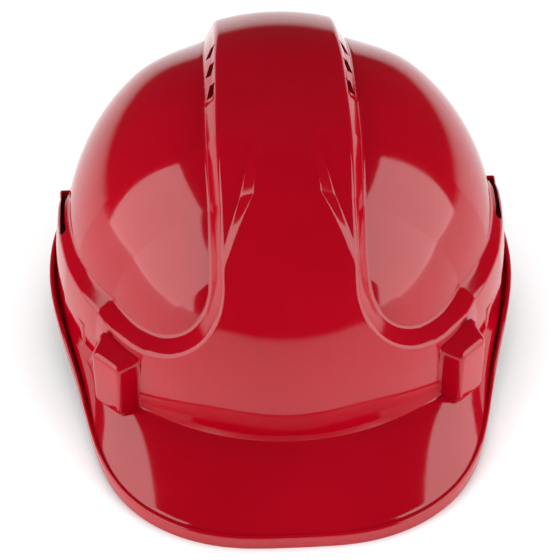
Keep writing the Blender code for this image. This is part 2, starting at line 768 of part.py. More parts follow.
def build_housing():
    """Tray behind the nape that the arms cross in, and its cover."""
    turns = [180 + turn for turn in turns_between(-HOUSING_HALF, HOUSING_HALF, 5)]
    tray_in, tray_out = BAND_R - 0.2, BAND_R + 1.3
    reach = ARM_H / 2 + GAP
    lip = COVER_R[1] + 0.4
    profile = [
        (tray_in, BAND_Z - reach - 1.8),
        (lip, BAND_Z - reach - 1.8),
        (lip, BAND_Z - reach),
        (tray_out, BAND_Z - reach),
        (tray_out, BAND_Z + reach),
        (lip, BAND_Z + reach),
        (lip, BAND_Z + reach + 1.8),
        (tray_in, BAND_Z + reach + 1.8),
    ]
    sweep("ratchet_base", profile, turns, "harness_plastic")
    low, high = BAND_Z - reach + 0.3, BAND_Z + reach - 0.3
    cells = strip_cells(turns, lambda t: low, lambda t: high)
    cover = plate("ratchet_cover", cells, lambda t: COVER_R[0], lambda t: COVER_R[1], "harness_plastic")
    hole = turned_along_y("cover_hole", [(88.0, 3.8), (98.0, 3.8)], "harness_plastic", (0, DOME_Y, BAND_Z))
    combine(cover, hole, "DIFFERENCE")


def build_knob():
    """Ribbed knob, its screw and the detent ring between knob and cover."""

    def ribbed(angle):
        return KNOB_R + 0.7 * math.cos(12 * angle)

    y0, y1 = KNOB_Y
    rings = [
        (y0, 13.5),
        (y0, ribbed),
        (y1 - 1.8, ribbed),
        (y1, KNOB_R - 2.4),
        (y1, 4.4),
        (y1 - 2.8, 3.4),
        (y1 - 2.8, 1.35),
        (y0 + 3.9, 1.35),
        (y0 + 3.9, 3.5),
        (y0, 3.5),
        (y0, 6.5),
        (y0 + 2.6, 6.5),
        (y0 + 2.6, 13.5),
    ]
    columns = 48
    points = []
    for y, radius in rings:
        for col in range(columns):
            angle = math.tau * col / columns
            reach = radius(angle) if callable(radius) else radius
            points.append((reach * math.sin(angle), DOME_Y + y, BAND_Z + reach * math.cos(angle)))
    faces = ring_faces(len(rings), columns, closed=True)
    last = (len(rings) - 1) * columns
    for col in range(columns):
        nxt = (col + 1) % columns
        faces.append((last + col, last + nxt, nxt, col))
    turned_out(add_mesh("knob", points, faces, "knob_plastic", (0, DOME_Y + y0, BAND_Z)))
    screw = [(y0 - 0.3, 0.9), (y1 - 2.5, 0.9), (y1 - 2.5, 2.9), (y1 - 1.0, 2.9), (y1 - 0.5, 2.2)]
    turned_along_y("knob_screw", screw, "screw_steel", (0, DOME_Y + y0, BAND_Z))
    detent = [(y0, 8.0), (y0 + 1.9, 8.0), (y0 + 1.9, 11.6), (y0, 11.6)]
    count = 32
    points = []
    for y, radius in detent:
        for col in range(count):
            angle = math.tau * col / count
            points.append((radius * math.sin(angle), DOME_Y + y, BAND_Z + radius * math.cos(angle)))
    faces = ring_faces(4, count, closed=True)
    for col in range(count):
        nxt = (col + 1) % count
        faces.append((3 * count + col, 3 * count + nxt, nxt, col))
    turned_out(add_mesh("detent_ring", points, faces, "pinion_plastic", (0, DOME_Y + y0, BAND_Z)))


def build_nape():
    """Pad inside the ratchet, and the two links that hold the ratchet from the rear keys."""
    turns = [180 + turn for turn in turns_between(-24, 24, 6)]
    pad = strip_cells(turns, lambda t: BAND_Z - 15, lambda t: BAND_Z + 15)
    plate("nape_pad", pad, lambda t: BAND_R - 4.2, lambda t: BAND_R - 0.6, "pad_fabric")
    for side, sign in (("left", 1), ("right", -1)):
        turns = [sign * turn for turn in turns_between(146, 166, 5)]
        cells = strip_cells(turns, lambda t: 12.0, lambda t: 21.7 if abs(t) < 153 else 30.0)
        plate(f"nape_link_{side}", cells, lambda t: 96.2, lambda t: 97.8, "harness_plastic")


def main():
    clear_scene()
    build_shell()
    build_keys()
    build_straps()
    build_crown_pad()
    build_headband()
    build_hangers()
    build_guides()
    build_arm("left_arm", 1, ARM_R_LEFT, True)
    build_arm("right_arm", -1, ARM_R_RIGHT, False)
    build_pinion()
    build_housing()
    build_knob()
    build_nape()


main()
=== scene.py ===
"""The hard hat's visual model: a glossy red moulded shell over a black webbing suspension.

Lengths in the tables are in millimetres and become metres through MM. +Z is up, and the wearer faces -Y.
"""

import json
import math

import bmesh
import bpy
import numpy as np
from mathutils import Matrix, Vector

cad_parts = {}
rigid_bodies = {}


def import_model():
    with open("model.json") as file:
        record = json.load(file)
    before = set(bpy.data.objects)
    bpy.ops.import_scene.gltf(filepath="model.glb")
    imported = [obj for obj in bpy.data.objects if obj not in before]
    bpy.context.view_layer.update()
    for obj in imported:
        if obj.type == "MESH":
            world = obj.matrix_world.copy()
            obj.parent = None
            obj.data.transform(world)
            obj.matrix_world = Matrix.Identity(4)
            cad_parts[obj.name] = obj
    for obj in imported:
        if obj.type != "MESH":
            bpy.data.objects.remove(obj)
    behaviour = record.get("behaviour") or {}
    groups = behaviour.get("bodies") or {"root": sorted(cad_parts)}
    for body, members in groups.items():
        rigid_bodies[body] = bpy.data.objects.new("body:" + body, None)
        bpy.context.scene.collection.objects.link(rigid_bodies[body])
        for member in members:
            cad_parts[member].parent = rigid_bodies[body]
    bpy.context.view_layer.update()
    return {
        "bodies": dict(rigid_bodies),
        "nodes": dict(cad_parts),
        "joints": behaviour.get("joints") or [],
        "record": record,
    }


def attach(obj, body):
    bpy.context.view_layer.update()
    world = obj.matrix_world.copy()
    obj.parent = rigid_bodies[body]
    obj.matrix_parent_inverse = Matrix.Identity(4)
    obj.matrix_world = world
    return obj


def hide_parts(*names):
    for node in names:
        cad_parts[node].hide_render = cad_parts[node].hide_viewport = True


MM = 0.001

# ---- The shell's form (mm) ----
DOME_Y = 18.1  # the dome's axis
DOME_BASE = 30.0
HALF_WIDTH = 102.5
DOME_FRONT = 105.0
DOME_REAR = 105.3
DOME_HEIGHT = 109.5
DOME_POWER = 2.4
WALL = 2.6
RAISE_FRONT = 7.5  # how far brow and ridge stand off the dome, in front and beside the ears
RAISE_SIDE = 4.2
BAND_REAR = 112.2  # the brow band's rear, which stands further off the dome
RIDGE_BASE = 34.6  # half-width of the ridge at the foot of its sloped sides
RIDGE_TOP_FRONT = 27.9  # and along their upper edge, in front and behind
RIDGE_TOP_REAR = 26.3
RIDGE_HALF = 31.0  # middle of the sloped side, where the vents are
CROWN_FALL = 3.6  # the crown is this much flatter towards the rear
STEP_RUN = 5.9
STEP_ROUND = 0.13  # rounding of the step's two edges, as a share of its run
BROW_Z = 62.5
BROW_RISE = 3.0  # how much higher the brow runs beside the ears
BROW_DROP = 18.0  # and how much lower again behind them
LOBE_CORNER = 38.0  # radius of the lobes' lower corners
CREASE_Z = 27.0  # where brow meets visor and gutter
SIDE_REACH = 8.0
VISOR_REACH = 42.8
RIM_SIDE_Z = 23.0
LIP_WIDTH = 2.6
VISOR_LIP = 7.8
GUTTER_FLOOR = 3.0
GUTTER_LIP = 4.2
FACET_STATIONS = (-82.0, -58.5, -31.0)  # end, fold and start of the front V, from the dome's axis
WEDGE_HALF = (29.5, 13.5, 11.0)
FOOT_HALF = (30.0, 20.0, 12.0)
FACET_DEPTH = 3.0
FOLD_DROP = 1.6
BROW_END = -104.0
VENT_STATIONS = (27.0, 12.0, -3.0)
VENT_SIZE = (7.6, 5.0, 17.0)
VENT_SLANT = 24.0
RECESS = 0.7  # depth of the strip the vents lie in
RECESS_ENDS = (-12.0, 74.0)
COLUMNS = 880
DOME_ROWS = 250
INNER_SHARE = 4  # the inside has a quarter of the columns
SOCKET_TURNS = (32, 66, 114, 148)
SOCKET_SIZE = (20.0, 7.0, 16.0)
SOCKET_SLOT = (14.6, 2.8, 16.0)
SOCKET_Z = 36.0
LUG_TURN = 44.0
LUG_HALF = (9.0, 16.5)  # half the lug's length and height
LUG_REACH = 8.5  # out of the brow
LUG_Z = 39.5
SLOT_X = (98.6, 103.2)
SLOT_Y = (-13.5, 19.5)  # from the dome's axis
SLOT_TOP = 66.5
SLOT_DEPTH = 60.0
BLOCK_X = 100.15  # the block the accessory slot runs through
BLOCK_SIZE = (7.6, 37.0, 36.0)
BLOCK_Z = 42.0

# ---- The suspension (mm) ----
BAND_R = 87.2
BAND_T = 1.6
BAND_FRONT = 95.0
BAND_Z = 24.0
BAND_H = 30.0
BAND_END = 118  # where the hoop ends, in degrees from the front
BROW_PAD_END = 72
BROW_PAD_T = 3.8
NAPE_PAD_HALF = 24  # degrees to each side of the nape
NAPE_PAD_T = 3.6
STITCH_INSET = 4.0
STITCH_STEP = 0.9  # degrees from one end of a stitch to the next
STRAP_TURNS = (32, -32, 66, -66)
STRAP_WIDTH = 19.0
STRAP_T = 1.2
STRAP_TOP = 104.0
STRAP_LAYER = 1.6
STRAP_POWER = 2.2
STRAP_FOOT = 24.0
STRAP_INSET = 8.5  # the strap's feet, inside the shell's wall
PAD_RADIUS = 38.0
PAD_T = 5.0
KEY_TOP = 42.0
KNOB_Y = (94.9, 103.0)
KNOB_R = 16.0
RIB_COUNT = 12
RIB_HEIGHT = 0.7

# ---- The studio (m and W) ----
SOFTBOX_AT = (1.17, -0.66, 0.70)
SOFTBOX_SIZE = (1.55, 1.4)
SOFTBOX_POWER = 22


# ---- Small helpers ----


def smooth(t):
    t = np.clip(t, 0.0, 1.0)
    return t * t * (3 - 2 * t)


def rounded(t, c):
    """max(t, 0) with its corner rounded over c on each side."""
    return np.where(t < -c, 0.0, np.where(t > c, t, (t + c) ** 2 / (4 * c)))


def ramp(t, c):
    """t clipped to 0..1, with both corners rounded over c."""
    return rounded(t, c) - rounded(t - 1, c)


def mesh_piece(name, points_mm, faces, material, body="helmet", replaces=(), soft=True):
    """A shown piece from points in mm, riding on a body."""
    mesh = bpy.data.meshes.new(name)
    mesh.from_pydata(np.asarray(points_mm) * MM, [], faces)
    mesh.materials.append(material)
    if soft:
        mesh.shade_smooth()
    obj = bpy.data.objects.new(name, mesh)
    bpy.context.collection.objects.link(obj)
    if body:
        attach(obj, body)
    if replaces:
        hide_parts(*replaces)
    return obj


def turned_out(obj):
    """Make the faces consistent and outward."""
    work = bmesh.new()
    work.from_mesh(obj.data)
    bmesh.ops.recalc_face_normals(work, faces=work.faces)
    work.to_mesh(obj.data)
    work.free()
    return obj


def ring_faces(rows, columns, closed=True, first=0):
    faces = []
    last = columns if closed else columns - 1
    for row in range(rows - 1):
        here = first + row * columns
        there = here + columns
        for col in range(last):
            nxt = (col + 1) % columns
            faces.append((here + col, here + nxt, there + nxt, there + col))
    return faces


def outward(turn_deg):
    """Axes at a plan azimuth: tangent, outward and up, as matrix columns."""
    turn = math.radians(turn_deg)
    tangent = Vector((math.cos(turn), math.sin(turn), 0))
    out = Vector((math.sin(turn), -math.cos(turn), 0))
    return Matrix((tangent, out, Vector((0, 0, 1)))).transposed()


def polar(turn_deg, radius, height):
    turn = math.radians(turn_deg)
    return (radius * math.sin(turn), DOME_Y - radius * math.cos(turn), height)


def apply_modifiers(obj):
    """Replace the object's mesh by its evaluated one."""
    graph = bpy.context.evaluated_depsgraph_get()
    mesh = bpy.data.meshes.new_from_object(obj.evaluated_get(graph), depsgraph=graph)
    obj.modifiers.clear()
    obj.data = mesh


# ---- The shell's surface ----


def dome_length(azimuth):
    return np.where(np.cos(azimuth) > 0, DOME_FRONT, DOME_REAR)


def dome(azimuth, elevation):
    """Points and outward normals of the plain dome; azimuth is 0 at the front, in radians."""
    level = np.cos(elevation) ** (2 / DOME_POWER)
    length = dome_length(azimuth)
    x = HALF_WIDTH * level * np.sin(azimuth)
    y = -length * level * np.cos(azimuth)
    z = DOME_HEIGHT * np.sin(elevation) ** (2 / DOME_POWER)
    plan = np.maximum((x / HALF_WIDTH) ** 2 + (y / length) ** 2, 1e-12)
    spread = plan ** (DOME_POWER / 2 - 1)
    rise = (z / DOME_HEIGHT) ** (DOME_POWER - 1) / DOME_HEIGHT
    normal = np.stack([spread * x / HALF_WIDTH**2, spread * y / length**2, rise], -1)
    normal /= np.linalg.norm(normal, axis=-1, keepdims=True)
    return np.stack([x, y + DOME_Y, z + DOME_BASE], -1), normal


def lobe_depth(point):
    """How far inside the lobes' outline a point is; negative on ridge and brow."""
    along = point[..., 1] - DOME_Y
    half = np.abs(point[..., 0])
    run = RIDGE_BASE - RIDGE_TOP_FRONT + (RIDGE_TOP_FRONT - RIDGE_TOP_REAR) * smooth((along + 40) / 80)
    across = STEP_RUN / 2 + (half - RIDGE_BASE) * np.where(half < RIDGE_BASE, STEP_RUN / run, 1.0)
    brow = BROW_Z + BROW_RISE * smooth((along + 68) / 60) - BROW_DROP * smooth((along - 4) / 36)
    above = point[..., 2] - brow
    corner = np.hypot(np.maximum(LOBE_CORNER - across, 0), np.maximum(LOBE_CORNER - above, 0))
    return np.minimum(LOBE_CORNER - corner, np.minimum(across, above))


def facet_sink(point):
    """Depth of the two facets beside the wedge that runs down the ridge's front."""
    across = np.abs(point[..., 0])
    along = point[..., 1] - DOME_Y
    wedge = np.interp(along, FACET_STATIONS, WEDGE_HALF)
    foot = np.interp(along, FACET_STATIONS, FOOT_HALF)
    depth = np.interp(along, FACET_STATIONS, (0.0, FACET_DEPTH, 0.0))
    run = foot - wedge
    return depth * ramp((across - wedge) / run, np.clip(0.5 / run, 0.02, 0.45))


def front_fold(point):
    """The wedge leans back below its fold and comes out again above the visor."""
    along = point[..., 1] - DOME_Y
    share = np.clip((FACET_STATIONS[1] - along) / (FACET_STATIONS[1] - BROW_END), 0, 1)
    fade = 1 - smooth((np.abs(point[..., 0]) - 25) / 25)
    return FOLD_DROP * np.sin(math.pi * share) * fade


def vent_recess(point, depth):
    """A shallow strip along the ridge's sloped sides, where the vents are."""
    along = point[..., 1] - DOME_Y
    slant = 0.5 * (depth + STEP_RUN / 2)
    ends = ramp((along - RECESS_ENDS[0] - slant) / 2, 0.4) * ramp((RECESS_ENDS[1] - along) / 2, 0.4)
    within = ramp((depth / STEP_RUN + 0.34) / 0.14, 0.3)
    high = point[..., 2] > 100
    return RECESS * ends * within * (1 - ramp((depth / STEP_RUN - 0.46) / 0.14, 0.3)) * high


def relief(point):
    """How far the outer surface stands off the plain dome."""
    turn = np.degrees(np.arctan2(np.abs(point[..., 0]), DOME_Y - point[..., 1]))
    over_top = smooth((point[..., 2] - 75) / 30)
    flatter = 1 - smooth((np.abs(point[..., 0]) - 34) / 34)
    crown_fall = CROWN_FALL * flatter * smooth((point[..., 1] - DOME_Y - 10) / 50) * over_top
    height = band_raise(turn)
    height = height + (RAISE_FRONT - height) * over_top
    depth = lobe_depth(point)
    raised = ramp(0.5 - depth / STEP_RUN, STEP_ROUND)
    return raised * height - crown_fall - facet_sink(point) - front_fold(point) - vent_recess(point, depth)


def oval_radius(azimuth, half_width, length):
    return half_width * length / np.hypot(length * np.sin(azimuth), half_width * np.cos(azimuth))


def plan_radius(azimuth):
    return oval_radius(azimuth, HALF_WIDTH, dome_length(azimuth))


def band_raise(turn):
    """How far the brow band stands off the dome's base at a plan azimuth in degrees."""
    azimuth = np.radians(turn)
    front = RAISE_FRONT - (RAISE_FRONT - RAISE_SIDE) * smooth((np.abs(turn) - 40) / 40)
    rear = oval_radius(azimuth, HALF_WIDTH + RAISE_SIDE, BAND_REAR) - plan_radius(azimuth)
    return np.where(np.abs(turn) < 90, front, rear)


def arc_points(centre, radius, start_deg, end_deg, steps):
    """Offsets round a corner, as radius and height."""
    made = []
    for step in range(steps + 1):
        angle = math.radians(start_deg + (end_deg - start_deg) * step / steps)
        made.append((centre[0] + radius * math.cos(angle), centre[1] + radius * math.sin(angle)))
    return made


def rim_rows(azimuth):
    """Outer rows from the crease over visor and gutter to the rim, and the rows back under it."""
    turn = np.degrees(np.abs(azimuth))
    crease = plan_radius(azimuth) + band_raise(turn)
    rear_base = oval_radius(azimuth, HALF_WIDTH, BAND_REAR - RAISE_SIDE)
    base = np.where(turn < 90, plan_radius(azimuth), rear_base)
    flat_tip = 3.4 * np.exp(-((turn / 11) ** 2))
    edge = base + SIDE_REACH + VISOR_REACH / (1 + np.exp((turn - 42) / 8.06)) - flat_tip
    front = smooth((turn - 15) / 65) ** 1.76
    rear = 1 - smooth((turn - 100) / 48)
    low = RIM_SIDE_Z * front * rear
    gutter = smooth((turn - 42) / 24)
    floor = low + VISOR_LIP + (GUTTER_FLOOR - VISOR_LIP) * gutter
    lip = floor + GUTTER_LIP * gutter
    inner_edge = edge - LIP_WIDTH

    def surface(share):
        return crease + (inner_edge - crease) * share, CREASE_Z + (floor - CREASE_Z) * share**1.25

    outer = []
    for share in (0.012, 0.03, 0.06):
        radius, height = surface(share)
        outer.append((radius, height + 0.5 * (1 - share / 0.06) * (1 - share / 0.06)))
    for share in np.linspace(0.09, 1, 34)[:-1]:
        outer.append(surface(share))
    for share in np.linspace(0, 1, 6):
        outer.append((inner_edge + 0.5 * share**2, floor + (lip - floor - 0.3) * share))
    for radius, height in arc_points((-1.3, -1.3), 1.3, 100, 0, 7):
        outer.append((edge + radius, lip + height))
    for share in (0.25, 0.5, 0.75, 0.93):
        outer.append((edge, lip - 1.3 + (low + 0.5 - lip + 1.3) * share))
    outer.append((edge - 0.12, low + 0.15))
    outer.append((edge - 0.5, low))
    outer.append((inner_edge + 0.4, low))
    outer.append((inner_edge, low + 0.3))
    under = []
    for share in np.linspace(1, 0, 12):
        radius = crease - WALL + (inner_edge - crease + WALL) * share
        height = CREASE_Z + (floor - CREASE_Z) * share**1.25 - WALL
        under.append((radius, np.maximum(height, low + 0.5)))
    return outer, under


def even_elevations(count):
    """Elevations whose rows lie evenly along the dome's profile, from the crown down."""
    fine = np.radians(np.linspace(89.5, 0.05, 4000))
    radius = DOME_FRONT * np.cos(fine) ** (2 / DOME_POWER)
    height = DOME_HEIGHT * np.sin(fine) ** (2 / DOME_POWER)
    length = np.concatenate([[0], np.cumsum(np.hypot(np.diff(radius), np.diff(height)))])
    return np.interp(np.linspace(0, length[-1], count), length, fine)


def rim_points(rows, azimuth):
    made = []
    for radius, height in rows:
        x = radius * np.sin(azimuth)
        y = DOME_Y - radius * np.cos(azimuth)
        made.append(np.stack([x, y, height + 0 * x], -1))
    return made


def shell_mesh(material):
    azimuth = np.linspace(-math.pi, math.pi, COLUMNS, endpoint=False)
    coarse = azimuth[::INNER_SHARE]
    outer = []
    for elevation in even_elevations(DOME_ROWS):
        point, normal = dome(azimuth, np.full(COLUMNS, elevation))
        outer.append(point + normal * relief(point)[:, None])
    above, below = rim_rows(azimuth)
    outer += rim_points(above, azimuth)
    inner = rim_points(rim_rows(coarse)[1], coarse)
    for elevation in even_elevations(DOME_ROWS // INNER_SHARE)[::-1]:
        point, normal = dome(coarse, np.full(len(coarse), elevation))
        inner.append(point + normal * (relief(point)[:, None] - WALL))
    faces = ring_faces(len(outer), COLUMNS)
    start = len(outer) * COLUMNS
    last_outer = start - COLUMNS
    few = len(coarse)
    for col in range(few):
        nxt = (col + 1) % few
        fine = [last_outer + (col * INNER_SHARE + step) % COLUMNS for step in range(INNER_SHARE + 1)]
        faces.append((*fine, start + nxt, start + col))
    faces += ring_faces(len(inner), few, first=start)
    points = np.concatenate([*outer, *inner])
    crown = DOME_BASE + DOME_HEIGHT + RAISE_FRONT
    top, bottom = len(points), len(points) + 1
    points = np.concatenate([points, [(0, DOME_Y, crown), (0, DOME_Y, crown - WALL)]])
    end = start + (len(inner) - 1) * few
    faces += [(top, (col + 1) % COLUMNS, col) for col in range(COLUMNS)]
    faces += [(bottom, end + col, end + (col + 1) % few) for col in range(few)]
    return turned_out(mesh_piece("shell_moulding", points, faces, material, "helmet", ["shell"]))


# ---- Bodies joined to the shell and cut from it ----


def box_form(size, centre, frame=None, bevel=0.0, segments=4):
    """A box's points and faces in mm, its edges rounded."""
    work = bmesh.new()
    bmesh.ops.create_cube(work, size=1.0)
    bmesh.ops.scale(work, vec=Vector(size), verts=work.verts)
    if bevel:
        bmesh.ops.bevel(
            work,
            geom=work.edges[:],
            offset=bevel,
            segments=segments,
            profile=0.5,
            affect="EDGES",
            clamp_overlap=True,
        )
    frame = frame or Matrix.Identity(3)
    work.verts.index_update()
    points = [tuple(Vector(centre) + frame @ v.co) for v in work.verts]
    faces = [tuple(v.index for v in f.verts) for f in work.faces]
    work.free()
    return points, faces


def lug_form(side):
    """A lug: a rounded box with drafted ends, flared where it meets the brow."""
    turn = side * LUG_TURN
    face = float(plan_radius(math.radians(turn)) + band_raise(turn))
    frame = outward(turn)
    half_length, half_height = LUG_HALF
    profile = [(-3.5, 4.2), (-0.9, 3.9), (-0.3, 3.2), (0.3, 2.6), (1.1, 2.2)]
    profile += [(LUG_REACH - 2.6, 0.4), (LUG_REACH - 1.7, 0.0), (LUG_REACH - 0.9, -0.5)]
    profile += [(LUG_REACH - 0.4, -1.1), (LUG_REACH - 0.1, -1.7), (LUG_REACH, -2.6)]
    corner, quarter = 3.6, 8
    points = []
    for reach, grow in profile:
        for sx, sz, start in ((1, 1, 0), (-1, 1, 90), (-1, -1, 180), (1, -1, 270)):
            upright = 0.35 * grow if sz > 0 else 0.0
            for step in range(quarter + 1):
                angle = math.radians(start + 90 * step / quarter)
                radius = max(corner + min(grow, 0), 0.5)
                across = sx * (half_length + grow - radius) + radius * math.cos(angle)
                up = sz * (half_height - radius) + radius * math.sin(angle) + upright + sz * min(grow, 0)
                points.append(Vector(polar(turn, face + reach, LUG_Z)) + frame @ Vector((across, 0, up)))
    around = 4 * (quarter + 1)
    faces = ring_faces(len(profile), around)
    faces.append(tuple(range(around)))
    faces.append(tuple(range(len(points) - around, len(points))))
    return [tuple(p) for p in points], faces


def joined(name, forms, material, body=None):
    """One object from several closed forms."""
    points, faces = [], []
    for form_points, form_faces in forms:
        first = len(points)
        points += form_points
        faces += [tuple(first + i for i in face) for face in form_faces]
    return turned_out(mesh_piece(name, points, faces, material, body))


def vent_frame(side, along):
    plan = (RIDGE_HALF / HALF_WIDTH) ** 2 + (along / DOME_REAR) ** 2
    height = DOME_HEIGHT * (1 - plan ** (DOME_POWER / 2)) ** (1 / DOME_POWER)
    centre = (side * (RIDGE_HALF + 0.3), DOME_Y + along, DOME_BASE + height + RAISE_FRONT / 2)
    out = Vector((side * RAISE_FRONT, 0, STEP_RUN)).normalized()
    along_axis = Vector((0, 1, 0))
    frame = Matrix((along_axis, out.cross(along_axis), out)).transposed()
    return centre, Matrix.Rotation(math.radians(side * VENT_SLANT), 3, out) @ frame


def build_shell(material):
    """The moulding, with lugs, slot blocks and key sockets joined on and their openings cut."""
    shell = shell_mesh(material)
    turns = [*SOCKET_TURNS, *(-turn for turn in reversed(SOCKET_TURNS))]
    added, cut = [lug_form(1), lug_form(-1)], []
    for turn in turns:
        wall = float(plan_radius(math.radians(turn)) + band_raise(turn)) - WALL
        middle = wall + 1.2 - SOCKET_SIZE[1] / 2
        added.append(box_form(SOCKET_SIZE, polar(turn, middle, SOCKET_Z), outward(turn), 1.0, 3))
        cut.append(box_form(SOCKET_SLOT, polar(turn, wall - 2.8, SOCKET_Z - 2.0), outward(turn)))
    middle_y = DOME_Y + sum(SLOT_Y) / 2
    length = SLOT_Y[1] - SLOT_Y[0]
    for side in (1, -1):
        added.append(box_form(BLOCK_SIZE, (side * BLOCK_X, middle_y, BLOCK_Z), None, 1.2, 4))
        width = SLOT_X[1] - SLOT_X[0]
        slot_at = (side * sum(SLOT_X) / 2, middle_y, SLOT_TOP - SLOT_DEPTH / 2)
        cut.append(box_form((width, length, SLOT_DEPTH), slot_at, None, 1.6, 4))
        for along in VENT_STATIONS:
            centre, frame = vent_frame(side, along)
            cut.append(box_form(VENT_SIZE, centre, frame, 0.5, 2))
    tools = [joined("shell_added", added, material), joined("shell_cut", cut, material)]
    for tool, operation in zip(tools, ("UNION", "DIFFERENCE")):
        step = shell.modifiers.new(tool.name, "BOOLEAN")
        step.operation = operation
        step.solver = "MANIFOLD"
        step.object = tool
        apply_modifiers(shell)
        bpy.data.objects.remove(tool, do_unlink=True)
    shell.data.shade_smooth()
    shell.data.set_sharp_from_angle(angle=math.radians(42))
    return shell


# ---- Materials ----


class Nodes:
    """A small wrapper that builds one material's node tree."""

    def __init__(self, name):
        self.material = bpy.data.materials.new(name)
        self.material.use_nodes = True
        self.tree = self.material.node_tree
        self.shader = self.tree.nodes["Principled BSDF"]
        self.coords = self.add("ShaderNodeTexCoord").outputs["Object"]

    def add(self, kind, **values):
        node = self.tree.nodes.new(kind)
        for key, value in values.items():
            if key in node.inputs:
                self.put(node.inputs[key], value)
            else:
                setattr(node, key, value)
        return node

    def put(self, socket, value):
        if isinstance(value, bpy.types.NodeSocket):
            self.tree.links.new(value, socket)
        else:
            socket.default_value = value

    def noise(self, scale, detail=2.0, coords=None, rough=0.5):
        node = self.add("ShaderNodeTexNoise", Scale=scale, Detail=detail, Roughness=rough)
        self.put(node.inputs["Vector"], coords or self.coords)
        return node.outputs["Fac"]

    def maths(self, operation, *values):
        node = self.add("ShaderNodeMath", operation=operation)
        for socket, value in zip(node.inputs, values):
            self.put(socket, value)
        return node.outputs[0]

    def span(self, value, low, high, from_low=0.0, from_high=1.0):
        node = self.add("ShaderNodeMapRange")
        node.inputs["From Min"].default_value = from_low
        node.inputs["From Max"].default_value = from_high
        node.inputs["To Min"].default_value = low
        node.inputs["To Max"].default_value = high
        self.put(node.inputs["Value"], value)
        return node.outputs["Result"]

    def mix(self, share, first, second):
        node = self.add("ShaderNodeMix", data_type="RGBA")
        self.put(node.inputs["Factor"], share)
        self.put(node.inputs["A"], first)
        self.put(node.inputs["B"], second)
        return node.outputs["Result"]

    def bump(self, height, strength, distance_mm, normal=None):
        node = self.add("ShaderNodeBump")
        self.put(node.inputs["Height"], height)
        node.inputs["Strength"].default_value = strength
        node.inputs["Distance"].default_value = distance_mm * MM
        if normal:
            self.put(node.inputs["Normal"], normal)
        return node.outputs["Normal"]

    def finish(self, colour, roughness, normal=None, **extra):
        self.put(self.shader.inputs["Base Color"], colour)
        self.put(self.shader.inputs["Roughness"], roughness)
        if normal:
            self.put(self.shader.inputs["Normal"], normal)
        for key, value in extra.items():
            self.put(self.shader.inputs[key.replace("_", " ")], value)
        return self.material


def red_moulding():
    """High-gloss red plastic: faint flow in the colour, a soft ripple, and fine handling haze."""
    n = Nodes("red_moulding")
    flow = n.noise(14, 3)
    colour = n.mix(n.span(flow, 0.0, 1.0, 0.35, 0.65), (0.42, 0.0004, 0.009, 1), (0.47, 0.0008, 0.012, 1))
    haze = n.noise(95, 5, rough=0.7)
    roughness = n.span(haze, 0.055, 0.115, 0.35, 0.75)
    ripple = n.bump(n.noise(38, 1), 0.06, 0.12)
    pores = n.bump(n.noise(1400, 2), 0.05, 0.01, ripple)
    return n.finish(colour, roughness, pores, IOR=1.5)


def grained_plastic(name, dark, light, roughness=0.46):
    n = Nodes(name)
    grain = n.noise(2300, 3)
    cloud = n.noise(60, 2)
    colour = n.mix(cloud, (*dark, 1), (*light, 1))
    gloss = n.span(n.noise(340, 3), roughness - 0.08, roughness + 0.1)
    return n.finish(colour, gloss, n.bump(grain, 0.35, 0.05))


def woven_webbing():
    """Black polyester webbing: rounded warp cords crossed by a chevron of weft, with painted shade darkening
    the gaps between them.
    """
    n = Nodes("woven_webbing")
    uv = n.add("ShaderNodeTexCoord").outputs["UV"]
    parts = n.add("ShaderNodeSeparateXYZ", Vector=uv).outputs
    across = n.maths("MULTIPLY", parts["X"], 1 / (1.25 * MM))
    along = n.maths("MULTIPLY", parts["Y"], 1 / (1.1 * MM))
    zigzag = n.maths("PINGPONG", across, 2.0)
    shifted = n.maths("ADD", along, n.maths("MULTIPLY", zigzag, 0.5))
    cords = n.maths("ABSOLUTE", n.maths("SINE", n.maths("MULTIPLY", across, math.pi)))
    weft = n.maths("ABSOLUTE", n.maths("SINE", n.maths("MULTIPLY", shifted, math.pi)))
    weave = n.maths("MULTIPLY", n.maths("POWER", cords, 0.6), n.maths("POWER", weft, 0.6))
    fluff = n.noise(3800, 3)
    # Painted shade: the weave's low gaps between cords and weft get the darker colour, the raised cord
    # crowns the lighter one.
    colour = n.mix(weave, (0.006, 0.006, 0.007, 1), (0.034, 0.034, 0.038, 1))
    colour = n.mix(n.span(fluff, 0.0, 0.35, 0.4, 0.8), colour, (0.05, 0.05, 0.055, 1))
    height = n.maths("ADD", weave, n.maths("MULTIPLY", fluff, 0.25))
    return n.finish(colour, 0.72, n.bump(height, 0.8, 0.22), Sheen_Weight=0.25, Sheen_Roughness=0.4)


def pad_cloth():
    """Dark knitted cloth over foam: a honeycomb of loops with soft fuzz, with painted shade darkening the
    gaps between the loops.
    """
    n = Nodes("pad_cloth")
    cells = n.add("ShaderNodeTexVoronoi", Scale=720.0, Randomness=0.25)
    n.put(cells.inputs["Vector"], n.coords)
    loops = n.span(cells.outputs["Distance"], 1.0, 0.0, 0.0, 0.75)
    fuzz = n.noise(4200, 3)
    # Painted shade: the colour darkens towards the edge of each loop, where the knit's relief sinks between
    # loops.
    colour = n.mix(loops, (0.018, 0.018, 0.02, 1), (0.062, 0.062, 0.067, 1))
    colour = n.mix(n.span(n.noise(45, 2), 0.0, 0.35), colour, (0.085, 0.085, 0.09, 1))
    height = n.maths("ADD", loops, n.maths("MULTIPLY", fuzz, 0.3))
    return n.finish(colour, 0.92, n.bump(height, 0.6, 0.25), Sheen_Weight=0.35, Sheen_Roughness=0.5)


def thread():
    n = Nodes("stitch_thread")
    twist = n.noise(5200, 2)
    colour = n.mix(twist, (0.10, 0.10, 0.11, 1), (0.22, 0.22, 0.235, 1))
    return n.finish(colour, 0.6, n.bump(twist, 0.5, 0.05), Sheen_Weight=0.2)


